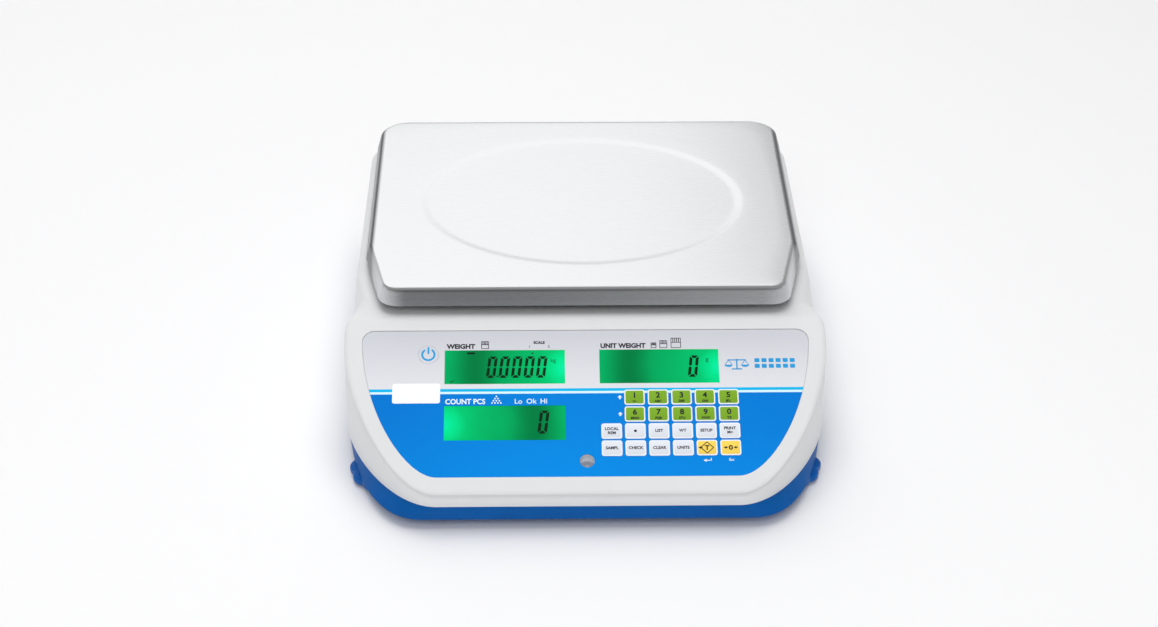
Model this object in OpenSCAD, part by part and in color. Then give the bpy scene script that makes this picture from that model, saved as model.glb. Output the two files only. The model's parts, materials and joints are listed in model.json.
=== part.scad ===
// Bench counting scale: a two-part moulded case on four levelling feet, a sloped
// console with three displays and a membrane keypad, and a stainless pan that is
// carried by a load cell. Millimetres. The origin is on the table under the middle
// of the scale, +X is to the user's right, +Y is away from the user, +Z is up.

/* [Overall] */
// Width over the console's widest points
body_w = 315; // [312:1:320]
// Depth from the front lip to the rear wall
body_d = 355; // [352:1:360]
// Height of the pan's top over the table
body_h = 110; // [108:0.5:114]

/* [Case] */
// Height of the base's lower edge over the table
base_z = 8; // [7.5:0.5:9]
// Height of the joint between the base and the cover
part_z = 19.5; // [19:0.5:21]
// Height of the deck under the pan
deck_z = 91; // [89:0.5:92]
// Wall thickness of the cover and the base
wall = 2.5; // [2:0.1:3]

/* [Console] */
// Slope of the console from level, in degrees
tilt = 29; // [28:0.5:30]
// Height of the console's lower fold over the table
fold_z = 30.6; // [30:0.2:31]
// Thickness of the cover under the console
panel_t = 4; // [3.5:0.1:4.5]
// Thickness of the printed overlay
overlay_t = 0.8; // [0.5:0.1:0.9]

/* [Keys] */
// Width of a key
key_w = 13.2; // [12:0.1:13.6]
// Height of a key, up the slope
key_h = 10.8; // [10:0.1:11.2]
// Distance between neighbouring keys across the console
key_pitch_x = 15.15; // [14.6:0.05:15.2]
// Distance between neighbouring rows
key_pitch_y = 12.05; // [11.8:0.05:12.2]
// Travel of a key
key_travel = 0.5; // [0.3:0.1:0.6]

/* [Pan] */
// Width of the pan over its skirt
pan_w = 294; // [284:1:296]
// Height of the pan's lower edge over the table
pan_z = 98; // [97:0.5:100]
// Thickness of the pan's sheet
sheet_t = 1.2; // [0.8:0.1:1.5]

/* [Feet] */
// Diameter over the lobes of a foot's hand wheel
wheel_d = 51; // [46:1:52]
// Number of lobes on a hand wheel
lobes = 12; // [8:1:16]
// Diameter of a foot's stud
stud_d = 10; // [8:1:10]
// Diameter of a foot's rubber pad
pad_d = 34; // [28:1:36]

/* [Hidden] */
$fn = 48;
front_y = -body_d / 2;
back_y = body_d / 2;
half_w = body_w / 2;
gap = 0.3;

// Console plane: it starts at the fold and climbs to the deck
fold_y = front_y + 0.5;
deck_front_y = fold_y + (deck_z - fold_z) / tan(tilt);
recess_t = 1;
membrane_z = -1.65;
membrane_t = 0.5;
pocket_t = 2.15;
key_top = 0.15;
key_t = 0.9;
key_gap = 0.12;

// Displays on the console: [name, left, right, lower, upper] of the window
LCDS = [
    ["lcd_weight", -91.7, -13.7, 76.8, 101.3],
    ["lcd_unit_weight", 8.7, 86.3, 76.8, 101.3],
    ["lcd_count", -91.7, -13.7, 36.6, 61.1]
];
lcd_margin = 3;
lcd_t = 2.8;
light_t = 3.1;
board_t = 1.6;
board_n = -panel_t - 3;

// Keypad: middle of the lower left key, then rows from the lowest one up
key_x0 = 15.7;
key_s0 = 30.35;
key_columns = 6;
KEY_ROWS = [
    ["key_sample", "key_check", "key_clear", "key_units", "key_tare", "key_zero"],
    ["key_local", "key_point", "key_lookup", "key_weight", "key_setup", "key_print"],
    ["", "key_6", "key_7", "key_8", "key_9", "key_0"],
    ["", "key_1", "key_2", "key_3", "key_4", "key_5"]
];
KEYS = [
    for (r = [0:len(KEY_ROWS) - 1], c = [0:key_columns - 1])
        if (KEY_ROWS[r][c] != "")
            [KEY_ROWS[r][c], key_x0 + c * key_pitch_x, key_s0 + r * key_pitch_y, r]
];
power_x = -102.4;
power_s = 98.3;
power_d = 13;
level_x = -0.3;
level_s = 21.8;
level_d = 9.4;

// Load cell: an aluminium beam across the scale, under the middle of the pan
cell_y = 55;
cell_l = 130;
cell_w = 30;
cell_h = 22;
cell_z = 36;
cell_bolt_x = [39, 57];
cell_pad_x = 48;
bolt_r = 3;
deck_hole_d = 52;

// Pan support
arm_z = 93;
arm_t = 8;
arm_w = 18;
arm_reach = [105, 80];
pad_top = body_h - sheet_t;
rubber_t = 4;
rubber_d = 14;

// Feet: places of the front and the rear pair
FEET = [
    ["fl", -129.5, -115],
    ["fr", 129.5, -115],
    ["rl", -126, 145],
    ["rr", 126, 145]
];
foot_pad_t = 2.2;
wheel_t = 5.2;
hub_d = 8;
nut_z = base_z + 6;
nut_t = 8;

// Screws that hold the cover on the base
case_screw_xy = [[88, -160], [143, -30], [142, 100]];
post_d = 9;
head_z = base_z + 4;

// Battery bay in the base
bay_c = [-45, 130];
bay = [103, 72];
battery_l = [101, 70, 47];
rebate = 5;

// Main board with its two sockets on the rear wall
board_c = [60, 133];
board_l = [84, 74];
board_z = 17;
inlet_x = 84;
serial_x = 41;

// ---- outlines, seen from above ----

function bez(a, b, c, d, n = 12) = [
    for (i = [0:n])
        let (t = i / n, u = 1 - t)
            u * u * u * a + 3 * u * u * t * b + 3 * u * t * t * c + t * t * t * d
];

function arc(c, r, a0, a1, n = 8) = [
    for (i = [0:n])
        let (a = a0 + (a1 - a0) * i / n)
            c + r * [cos(a), sin(a)]
];

function both_sides(half) = concat(
    half,
    [for (i = [len(half) - 1:-1:0]) [-half[i][0], half[i][1]]]
);

// Cover: a curved front corner, a slight waist behind the console, a round rear corner
function cover_outline(d = 0) = both_sides(concat(
    bez(
        [96, front_y + d],
        [127 - d / 2, front_y + d],
        [half_w - d, -114 + d / 2],
        [half_w - d, -84]
    ),
    bez([half_w - d, -80], [half_w - d, -66], [half_w - 3.5 - d, -62], [half_w - 3.5 - d, -46], 6),
    arc([half_w - 25, back_y - 20], 20 - d, 0, 90)
));

// Base: its front corners reach further out than the cover's
function base_outline() = both_sides(concat(
    bez([106, front_y + 1.7], [146, front_y + 1.7], [half_w - 4, -96], [half_w - 4, -85]),
    arc([half_w - 26, back_y - 21], 20, 0, 90)
));

// Pan: straight cut front corners, round rear corners
function pan_outline(d = 0) = both_sides(concat(
    arc([pan_w / 2 - 24.4, -49.8], 14 - d, -90, -12),
    arc([pan_w / 2 - 8, -2], 8 - d, -12, 0, 3),
    arc([pan_w / 2 - 22, 152.5], 22 - d, 0, 90)
));

// Strip of thickness t with a mitre at each bend of its middle line
function strip(path, t) =
    let (
        last = len(path) - 1,
        step = [for (i = [0:last - 1]) (path[i + 1] - path[i]) / norm(path[i + 1] - path[i])],
        side = [for (v = step) [-v[1], v[0]]],
        mitre = [
            for (i = [0:last])
                let (a = side[max(i - 1, 0)], b = side[min(i, last - 1)])
                    (a + b) / (1 + a * b) * t / 2
        ]
    )
    concat([for (i = [0:last]) path[i] + mitre[i]], [for (i = [last:-1:0]) path[i] - mitre[i]]);

// Overlay, in the console's plane
function overlay_outline(d = 0) = both_sides(concat(
    bez([96, 10.6 + d], [115, 10.6 + d], [142.9 - d, 54.6], [145.5 - d, 106], 28),
    arc([137.5, 107.5], 8 - d, 0, 90)
));

// ---- helpers ----

module mirrored() {
    children();
    mirror([1, 0, 0]) children();
}

// Console frame: X across, Y up the slope, Z out of the panel
module on_console() translate([0, fold_y, fold_z]) rotate([tilt, 0, 0]) children();

// Extrudes a side view, drawn as [y, z], across the whole scale
module side_view(points) rotate([90, 0, 90]) linear_extrude(body_w + 2, center = true) polygon(points);

module block(lo, hi) translate(lo) cube(hi - lo);

module hex_prism(across_flats, h) cylinder(d = across_flats / cos(30), h = h, $fn = 6);

module rounded_plate(size, r, h) {
    linear_extrude(h) {
        square([size[0] - 2 * r, size[1]], center = true);
        square([size[0], size[1] - 2 * r], center = true);
        for (x = [-1, 1], y = [-1, 1])
            translate([x * (size[0] / 2 - r), y * (size[1] / 2 - r)]) circle(r, $fn = 24);
    }
}

// A round lead that follows the given points
module lead(points, d) {
    for (i = [0:len(points) - 2]) {
        v = points[i + 1] - points[i];
        turn = [0, acos(v[2] / norm(v)), atan2(v[1], v[0])];
        translate(points[i]) rotate(turn) cylinder(d = d, h = norm(v), $fn = 16);
        if (i > 0) translate(points[i]) sphere(d = d + 0.6, $fn = 16);
    }
}

module at_case_screws() {
    for (p = case_screw_xy, side = [-1, 1])
        translate([side * p[0], p[1], 0]) children();
}

module at_feet() {
    for (f = FEET) translate([f[1], f[2], 0]) children();
}

module at_cell_bolts(side) {
    for (x = cell_bolt_x) translate([side * x, cell_y, 0]) children();
}

// Corners of the display board, in the console's frame
module at_board_screws() {
    for (x = [-99, 98], s = [30, 107]) translate([x, s, 0]) children();
}

module at_main_board_posts() {
    for (x = [-1, 1], y = [-1, 1])
        translate([board_c[0] + x * (board_l[0] / 2 - 4), board_c[1] + y * (board_l[1] / 2 - 4), 0])
            children();
}

module at_door_screws() {
    for (x = [-1, 1], y = [-1, 1])
        translate([bay_c[0] + x * (bay[0] / 2 - 6), bay_c[1] + y * (bay[1] / 2 + rebate / 2), 0])
            children();
}

// Stands a small screw's head on z = 0 with its shank upwards
module small_screw() {
    translate([0, 0, -1.6]) cylinder(d = 5, h = 1.6);
    cylinder(d = 2.4, h = 5);
}

// ---- case ----

module cover_solid() {
    intersection() {
        translate([0, 0, part_z]) linear_extrude(deck_z - part_z) polygon(cover_outline());
        side_view([
            [front_y - 1, part_z - 1],
            [front_y - 1, fold_z],
            [fold_y, fold_z],
            [deck_front_y, deck_z],
            [deck_front_y, deck_z + 1],
            [back_y + 1, deck_z + 1],
            [back_y + 1, part_z - 1]
        ]);
    }
}

module cover_hollow() {
    inner_fold_z = fold_z - panel_t / cos(tilt);
    inner_deck_z = deck_z - wall;
    difference() {
        intersection() {
            translate([0, 0, part_z - 1]) linear_extrude(deck_z) polygon(cover_outline(wall));
            side_view([
                [front_y - 1, part_z - 2],
                [front_y - 1, inner_fold_z],
                [fold_y, inner_fold_z],
                [fold_y + (inner_deck_z - inner_fold_z) / tan(tilt), inner_deck_z],
                [back_y + 1, inner_deck_z],
                [back_y + 1, part_z - 2]
            ]);
        }
        // The wall stays whole under each scoop
        mirrored() translate([0, 0, -wall / cos(45)]) shoulder_scoop();
    }
}

// Sloping scoop beside each front corner of the deck
module shoulder_scoop() {
    intersection() {
        translate([154.5, -3, deck_z]) rotate([0, 45, -15.4])
            translate([0, -90, 0]) cube([40, 120, 40]);
        translate([151.5, -61, deck_z]) rotate([0, 45, 23.9])
            translate([0, -40, 0]) cube([40, 120, 40]);
    }
}

// Posts down to the base, cut to the inside of the cover
module cover_posts() {
    intersection() {
        cover_solid();
        at_case_screws() translate([0, 0, part_z - 4]) cylinder(d = post_d, h = deck_z);
    }
    at_case_screws() translate([0, 0, head_z + 3]) cylinder(d = post_d, h = part_z - head_z - 2);
}

module console_openings() {
    on_console() {
        translate([0, 0, -recess_t]) linear_extrude(10) polygon(overlay_outline(-0.25));
        for (l = LCDS)
            block(
                [l[1] - lcd_margin - 0.2, l[3] - lcd_margin - 0.2, -panel_t - 10],
                [l[2] + lcd_margin + 0.2, l[4] + lcd_margin + 0.2, 1]
            );
        translate([0, 0, -pocket_t]) linear_extrude(2) {
            translate([key_x0 - 9, key_s0 - 7.5]) square([94, 52]);
            translate([power_x - 8, power_s - 8]) square(16);
        }
        at_board_screws() translate([0, 0, -panel_t - 3.5]) cylinder(d = 2.5, h = 5);
    }
}

module level_position() {
    translate([
        level_x,
        fold_y + level_s * cos(tilt),
        fold_z + level_s * sin(tilt)
    ]) children();
}

module top_cover() color("WhiteSmoke") difference() {
    union() {
        difference() {
            cover_solid();
            cover_hollow();
            mirrored() shoulder_scoop();
        }
        cover_posts();
        on_console() at_board_screws() translate([0, 0, board_n]) cylinder(d = 7, h = 4);
    }
    console_openings();
    level_position() translate([0, 0, -20]) cylinder(d = level_d + 0.8, h = 40);
    translate([cell_pad_x, cell_y, deck_z - 10]) cylinder(d = deck_hole_d, h = 20);
    at_case_screws() translate([0, 0, head_z + 2]) cylinder(d = 3.1, h = 14);
    socket_openings();
}

// Openings in the rear wall, shared by the cover and the base
module socket_openings() {
    low = board_z + board_t - 0.2;
    block([inlet_x - 5.2, back_y - 17, low], [inlet_x + 5.2, back_y + 1, 30.4]);
    block([serial_x - 15.7, back_y - 17, low], [serial_x + 15.7, back_y + 1, 31.8]);
}

module base_solid() {
    hull() {
        translate([0, 0, base_z]) linear_extrude(2) polygon(base_outline());
        translate([0, 0, part_z - 1]) linear_extrude(1) polygon(cover_outline(0.7));
    }
}

module base_tray() color("RoyalBlue") difference() {
    union() {
        difference() {
            base_solid();
            translate([0, 0, base_z + wall]) linear_extrude(20) polygon(cover_outline(wall + 1.5));
        }
        at_feet() translate([0, 0, base_z + 1]) cylinder(d = 26, h = nut_z + nut_t - base_z - 1);
        at_case_screws() translate([0, 0, base_z + 1]) cylinder(d = 12, h = head_z + 3 - base_z - 1);
        // Raised seat under the load cell's fixed end
        block([-72, 32, base_z + 1], [-24, 78, 18]);
        translate([cell_pad_x, cell_y, base_z + 1]) rounded_plate([42, 20], 6, 20);
        at_main_board_posts() translate([0, 0, base_z + 1]) cylinder(d = 7, h = board_z - base_z - 1);
        at_door_screws() translate([0, 0, base_z + 1]) cylinder(d = 5, h = 7);
        // Stiffening ribs under the console
        for (x = [-60, -20, 20, 60]) block([x - 1, -165, base_z + 1], [x + 1, -20, part_z - 3]);
    }
    at_feet() {
        cylinder(d = stud_d + 0.8, h = 30);
        translate([0, 0, nut_z]) hex_prism(17, nut_t + 1);
    }
    at_case_screws() {
        cylinder(d = 8, h = head_z);
        cylinder(d = 4.2, h = 20);
    }
    at_cell_bolts(-1) {
        cylinder(d = 11, h = 14.2);
        cylinder(d = 6.6, h = 20);
    }
    at_cell_bolts(1) translate([0, 0, base_z + 8]) cylinder(d = 6.1, h = 20);
    at_main_board_posts() translate([0, 0, base_z + 3.4]) cylinder(d = 2.5, h = 10);
    at_door_screws() translate([0, 0, base_z + 1.5]) cylinder(d = 2.5, h = 5.2);
    translate([bay_c[0], bay_c[1], base_z - 1]) {
        linear_extrude(10) square(bay, center = true);
        linear_extrude(2.5) square([bay[0] + 2 * rebate, bay[1] + 2 * rebate], center = true);
    }
    socket_openings();
}

module battery_door() color("RoyalBlue") difference() {
    translate([bay_c[0], bay_c[1], base_z]) {
        linear_extrude(1.5) square([bay[0] + 2 * rebate - 0.6, bay[1] + 2 * rebate - 0.6], center = true);
        linear_extrude(wall) square([bay[0] - 0.6, bay[1] - 0.6], center = true);
    }
    at_door_screws() cylinder(d = 2.8, h = 12);
}

module case_screws() color("Silver") at_case_screws() {
    translate([0, 0, head_z - 2.5]) cylinder(d = 7, h = 2.5);
    translate([0, 0, head_z]) cylinder(d = 3, h = 14);
}

module small_screws() color("Silver") {
    at_door_screws() translate([0, 0, base_z]) small_screw();
    at_main_board_posts() translate([0, 0, board_z + board_t]) mirror([0, 0, 1]) small_screw();
    on_console() at_board_screws() translate([0, 0, board_n - board_t]) small_screw();
}

module foot_nuts() color("Silver") at_feet() translate([0, 0, nut_z]) difference() {
    hex_prism(16.9, nut_t);
    translate([0, 0, -1]) cylinder(d = stud_d + 0.1, h = nut_t + 2);
}

// ---- feet ----

module foot_pad(place) color("DimGray") translate([place[1], place[2], 0]) {
    cylinder(d = pad_d, h = foot_pad_t);
    cylinder(d = hub_d, h = foot_pad_t + 3);
}

module foot_wheel(place) color("Blue") translate([place[1], place[2], 0]) difference() {
    wheel_z = foot_pad_t + gap;
    lobe_d = wheel_d * 0.2;
    union() {
        translate([0, 0, wheel_z]) cylinder(d = wheel_d - lobe_d * 0.7, h = wheel_t);
        for (i = [0:lobes - 1]) rotate(i * 360 / lobes)
            translate([(wheel_d - lobe_d) / 2, 0, wheel_z]) cylinder(d = lobe_d, h = wheel_t, $fn = 24);
        translate([0, 0, wheel_z]) cylinder(d = stud_d, h = nut_z + nut_t + 5 - wheel_z);
    }
    translate([0, 0, -1]) cylinder(d = hub_d + 0.1, h = foot_pad_t + 4.3);
}

// ---- console ----

module key_shape(size, d = 0) {
    rounded = 1.6 + d;
    square([size[0] + 2 * d - 2 * rounded, size[1] + 2 * d], center = true);
    square([size[0] + 2 * d, size[1] + 2 * d - 2 * rounded], center = true);
    for (x = [-1, 1], y = [-1, 1])
        translate([x * (size[0] / 2 + d - rounded), y * (size[1] / 2 + d - rounded)])
            circle(rounded, $fn = 24);
}

module front_overlay() color("DodgerBlue") on_console() translate([0, 0, -recess_t]) difference() {
    linear_extrude(overlay_t) polygon(overlay_outline());
    translate([0, 0, -1]) linear_extrude(3) {
        for (l = LCDS) translate([l[1], l[3]]) square([l[2] - l[1], l[4] - l[3]]);
        for (k = KEYS) translate([k[1], k[2]]) key_shape([key_w, key_h], key_gap);
        translate([power_x, power_s]) circle(d = power_d + 2 * key_gap);
        translate([level_x, level_s]) circle(d = level_d);
    }
}

module key_cap(k) color(["Gold", "White", "YellowGreen", "YellowGreen"][k[3]]) on_console()
    translate([k[1], k[2], key_top - key_t]) linear_extrude(key_t) key_shape([key_w, key_h]);

module key_power() color("Gainsboro") on_console()
    translate([power_x, power_s, -overlay_t + gap - 0.5]) cylinder(d = power_d, h = overlay_t);

module lcd(l) color("MediumSeaGreen") on_console() block(
    [l[1] - lcd_margin, l[3] - lcd_margin, -recess_t - lcd_t - 0.05],
    [l[2] + lcd_margin, l[4] + lcd_margin, -recess_t - 0.05]
);

module lcd_backlights() color("LightGreen") on_console() for (l = LCDS) block(
    [l[1] - lcd_margin, l[3] - lcd_margin, -recess_t - lcd_t - 0.05 - light_t],
    [l[2] + lcd_margin, l[4] + lcd_margin, -recess_t - lcd_t - 0.05]
);

module display_board() color("DarkGreen") on_console() difference() {
    block([-103, 28, board_n - board_t], [102, 111, board_n]);
    at_board_screws() translate([0, 0, -20]) cylinder(d = 2.8, h = 20);
}

// One membrane under the keypad and one under the power key, with a dome for each key
module key_domes() color("Khaki") on_console() {
    translate([key_x0 - 8.8, key_s0 - 7.3, membrane_z - membrane_t]) cube([93.6, 50.4, membrane_t]);
    translate([power_x - 7.5, power_s - 7.5, membrane_z - membrane_t]) cube([15, 15, membrane_t]);
    dome_h = key_top - key_t - key_travel - membrane_z - 0.1;
    for (k = KEYS) translate([k[1], k[2], membrane_z]) cylinder(d = 5, h = dome_h, $fn = 24);
    translate([power_x, power_s, membrane_z]) cylinder(d = 5, h = dome_h / 3, $fn = 24);
}

// The cup hangs under the console with its bore upright, so that the vial lies level
module level_housing() color("LightGray") difference() {
    intersection() {
        level_position() translate([0, 0, -15]) cylinder(d = 16, h = 30);
        on_console() translate([level_x - 20, level_s - 30, -40 - panel_t]) cube([40, 60, 40]);
    }
    level_position() translate([0, 0, -13]) cylinder(d = level_d + 0.8, h = 30);
}

module level_vial() color("PaleGreen") level_position() translate([0, 0, -13])
    cylinder(d = level_d + 0.7, h = 8.9);

// ---- inside ----

module load_cell() color("Silver") difference() {
    translate([0, cell_y, cell_z + cell_h / 2]) cube([cell_l, cell_w, cell_h], center = true);
    // Two bores joined by a slot leave the thin bending webs
    translate([0, cell_y, cell_z + cell_h / 2]) rotate([90, 0, 0]) {
        for (x = [-10, 10]) translate([x, 0, 0]) cylinder(d = 17, h = cell_w + 2, center = true);
        cube([20, 8, cell_w + 2], center = true);
    }
    for (side = [-1, 1]) at_cell_bolts(side) translate([0, 0, cell_z - 1])
        cylinder(d = 2 * bolt_r + 0.1, h = cell_h + 2);
}

module load_cell_riser() color("LightSteelBlue") difference() {
    block([-66, cell_y - 15, 18], [-30, cell_y + 15, cell_z]);
    at_cell_bolts(-1) cylinder(d = 6.6, h = 60);
}

module load_cell_bolts() color("DimGray") at_cell_bolts(-1) {
    translate([0, 0, 8.6]) cylinder(d = 10, h = 5.6);
    translate([0, 0, 14.2]) cylinder(r = bolt_r, h = 38);
}

module overload_stops() color("DimGray") at_cell_bolts(1)
    translate([0, 0, base_z + 8]) cylinder(d = 6, h = cell_z - 0.9 - base_z - 8);

module battery() color("DarkSlateGray") translate([bay_c[0], bay_c[1], base_z + wall]) {
    translate([0, 0, battery_l[2] / 2]) cube(battery_l, center = true);
    for (y = [-25, 25]) translate([46, y, battery_l[2] + 3]) cube([1, 6, 6.2], center = true);
}

module main_board() color("DarkGreen") difference() {
    union() {
        translate([board_c[0], board_c[1], board_z + board_t / 2])
            cube([board_l[0], board_l[1], board_t], center = true);
        // Processor, regulator and connector block
        block([36, 108, board_z + board_t], [52, 124, board_z + board_t + 2]);
        block([60, 110, board_z + board_t], [72, 136, board_z + board_t + 12]);
        block([20, 106, board_z + board_t], [31, 119, board_z + board_t + 8]);
    }
    at_main_board_posts() cylinder(d = 2.8, h = 40);
}

module dc_inlet() color("Black") difference() {
    top = board_z + board_t;
    block([inlet_x - 4.7, back_y - 14.5, top], [inlet_x + 4.7, back_y - 0.6, top + 11]);
    translate([inlet_x, back_y, top + 5.6]) rotate([90, 0, 0]) difference() {
        cylinder(d = 6.4, h = 11);
        cylinder(d = 2, h = 12);
    }
}

module serial_port() color("Silver") difference() {
    top = board_z + board_t;
    union() {
        block([serial_x - 15.2, back_y - 15, top], [serial_x + 15.2, back_y - 1, top + 12.4]);
        block([serial_x - 9, back_y - 1.2, top + 2.2], [serial_x + 9, back_y, top + 10.2]);
    }
    difference() {
        block([serial_x - 8.3, back_y - 6, top + 2.9], [serial_x + 8.3, back_y + 1, top + 9.5]);
        // Nine pins in two rows
        for (row = [0, 1], i = [0:4 - row])
            translate([serial_x + (i - 2 + row / 2) * 2.77, back_y - 6, top + 7.6 - row * 2.84])
                rotate([-90, 0, 0]) cylinder(d = 1, h = 5.2);
    }
}

// Two battery leads and the load cell's lead, each whole from end to end
module internal_leads() color("Crimson") {
    battery_top = base_z + wall + battery_l[2];
    board_top = board_z + board_t + 8;
    for (i = [0, 1]) {
        tab_y = bay_c[1] + [-25, 25][i];
        lead([
            [bay_c[0] + 46.6, tab_y, battery_top + 3],
            [11 + 3 * i, tab_y, battery_top + 3],
            [11 + 3 * i, 110 + 5 * i, battery_top + 3],
            [11 + 3 * i, 110 + 5 * i, battery_top - 4],
            [24 + 3 * i, 110 + 5 * i, battery_top - 4],
            [24 + 3 * i, 110 + 5 * i, board_top]
        ], 2);
    }
    lead([
        [20, cell_y + cell_w / 2, cell_z + 11],
        [20, 84, cell_z + 11],
        [36, 92, 30],
        [44, 114, 26],
        [44, 114, board_z + board_t + 2]
    ], 3);
}

// Flat cable from the display board along the base to the main board
module ribbon_cable() color("Gray") {
    start_y = fold_y + 34 * cos(tilt) - (board_n - board_t) * sin(tilt);
    start_z = fold_z + 34 * sin(tilt) + (board_n - board_t) * cos(tilt);
    path = [
        [start_y, start_z],
        [start_y + 6, start_z - 10],
        [start_y + 6, base_z + 12],
        [84, base_z + 12],
        [92, 26],
        [98, 26],
        [98, board_z + board_t]
    ];
    translate([82, 0, 0]) rotate([90, 0, 90]) linear_extrude(20, center = true) polygon(strip(path, 1));
}

// ---- platform and pan ----

module pan_support() color("Gray") difference() {
    union() {
        for (side = [-1, 1])
            translate([0, cell_y, arm_z + arm_t / 2]) rotate(side * atan2(arm_reach[1], arm_reach[0]))
                cube([2 * norm(arm_reach), arm_w, arm_t], center = true);
        block([-66, cell_y - 26, arm_z], [72, cell_y + 26, arm_z + arm_t]);
        for (x = [-1, 1], y = [-1, 1])
            translate([x * arm_reach[0], cell_y + y * arm_reach[1], arm_z])
                cylinder(d = arm_w + 5, h = pad_top - rubber_t - arm_z);
        block([cell_pad_x - 18, cell_y - 15, cell_z + cell_h], [cell_pad_x + 18, cell_y + 15, arm_z + 1]);
    }
    at_cell_bolts(1) {
        cylinder(d = 6.1, h = 200);
        translate([0, 0, arm_z + 2]) cylinder(d = 11, h = 20);
    }
}

module support_bolts() color("DimGray") at_cell_bolts(1) {
    translate([0, 0, arm_z + 2]) cylinder(d = 10, h = 5.6);
    translate([0, 0, cell_z + 4]) cylinder(r = bolt_r, h = arm_z + 2 - cell_z - 4);
}

module support_pads() color("Black") for (x = [-1, 1], y = [-1, 1])
    translate([x * arm_reach[0], cell_y + y * arm_reach[1], pad_top - rubber_t])
        cylinder(d = rubber_d, h = rubber_t);

// Tray with a rounded upper edge and a skirt that flares outwards
module pan_solid(d, top_z, bottom_z) {
    hull() {
        translate([0, 0, bottom_z]) linear_extrude(0.5) polygon(pan_outline(d));
        translate([0, 0, top_z - 3]) linear_extrude(1) polygon(pan_outline(2.2 + d));
        translate([0, 0, top_z - 1.4]) linear_extrude(1) polygon(pan_outline(3 + d));
        translate([0, 0, top_z - 0.5]) linear_extrude(0.5) polygon(pan_outline(4.5 + d));
    }
}

module weighing_pan() color("Gainsboro") difference() {
    pan_solid(0, body_h, pan_z);
    pan_solid(sheet_t, body_h - sheet_t, pan_z - 1);
}

base_tray();
top_cover();
front_overlay();
for (l = LCDS) lcd(l);
lcd_backlights();
display_board();
key_domes();
main_board();
load_cell();
load_cell_riser();
load_cell_bolts();
overload_stops();
battery();
battery_door();
internal_leads();
ribbon_cable();
foot_nuts();
level_housing();
level_vial();
case_screws();
small_screws();
dc_inlet();
serial_port();
pan_support();
support_bolts();
support_pads();
weighing_pan();
key_power();
for (k = KEYS) key_cap(k);
for (f = FEET) foot_wheel(f);
for (f = FEET) foot_pad(f);
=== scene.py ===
"""Looks of the counting scale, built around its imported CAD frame.

Shapes are worked out in millimetres and turned into metres when a mesh is made.
Console coordinates are x across, s up the slope from the fold, n out of the panel.
"""

import json
import math

import bmesh
import bpy
import numpy as np
from mathutils import Matrix, Vector


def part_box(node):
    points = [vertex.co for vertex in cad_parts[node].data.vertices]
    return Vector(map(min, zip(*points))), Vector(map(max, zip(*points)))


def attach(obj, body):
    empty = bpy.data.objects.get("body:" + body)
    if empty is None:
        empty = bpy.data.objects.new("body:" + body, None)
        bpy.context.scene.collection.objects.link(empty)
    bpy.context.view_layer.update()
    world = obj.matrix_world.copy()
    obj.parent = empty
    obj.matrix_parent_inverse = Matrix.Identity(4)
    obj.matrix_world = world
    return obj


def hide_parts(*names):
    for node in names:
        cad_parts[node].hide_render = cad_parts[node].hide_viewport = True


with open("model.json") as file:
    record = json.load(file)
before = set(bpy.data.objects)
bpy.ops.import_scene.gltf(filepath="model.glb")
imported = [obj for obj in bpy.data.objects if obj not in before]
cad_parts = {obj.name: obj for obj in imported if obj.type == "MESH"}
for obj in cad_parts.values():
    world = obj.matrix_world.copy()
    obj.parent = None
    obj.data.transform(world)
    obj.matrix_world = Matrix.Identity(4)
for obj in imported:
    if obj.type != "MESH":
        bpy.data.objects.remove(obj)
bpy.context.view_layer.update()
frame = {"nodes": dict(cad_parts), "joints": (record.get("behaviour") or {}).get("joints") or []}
NODES = frame["nodes"]

MM = 0.001
FILM_T = 0.04  # thickness of a printed mark


def box_mm(node):
    """Lowest and highest corner of a CAD node, in millimetres."""
    lo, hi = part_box(node)
    return np.array(lo) / MM, np.array(hi) / MM


# ---- sizes read from the frame ----

press = next(j for j in frame["joints"] if j["name"] == "press_key_power")
TILT = math.atan2(press["axis"][1], -press["axis"][2])
COS, SIN = math.cos(TILT), math.sin(TILT)

COVER_LO, COVER_HI = box_mm("top_cover")
HALF_W, FRONT, BACK, DECK = COVER_HI[0], COVER_LO[1], COVER_HI[1], COVER_HI[2]
BASE_Z = box_mm("base_tray")[0][2]
PART_Z = 19.5
PANEL_T = 4.0
WALL = 2.5

OVERLAY_S0, OVERLAY_N0, OVERLAY_N1 = 10.6, -1.0, -0.2
overlay_lo = box_mm("front_overlay")[0]
FOLD_Y = overlay_lo[1] - OVERLAY_S0 * COS + OVERLAY_N1 * SIN
FOLD_Z = overlay_lo[2] - OVERLAY_S0 * SIN - OVERLAY_N0 * COS


def console(x, s, n):
    return (x, FOLD_Y + s * COS - n * SIN, FOLD_Z + s * SIN + n * COS)


def upright(x, y, z):
    return (x, y, z)


def on_console(point):
    """Console coordinates of a point in the row frame."""
    y, z = point[1] - FOLD_Y, point[2] - FOLD_Z
    return point[0], y * COS + z * SIN, z * COS - y * SIN


def middle(node):
    lo, hi = box_mm(node)
    return (lo + hi) / 2


# ---- camera ----

CAMERA_ANGLES = (1.309, 32.591, -0.397)  # yaw, pitch and roll in degrees
CAMERA_PLACE = (-0.0339, -1.37065, 0.92758)
CAMERA_LENS = 73.39
SENSOR_WIDTH = 36


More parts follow.
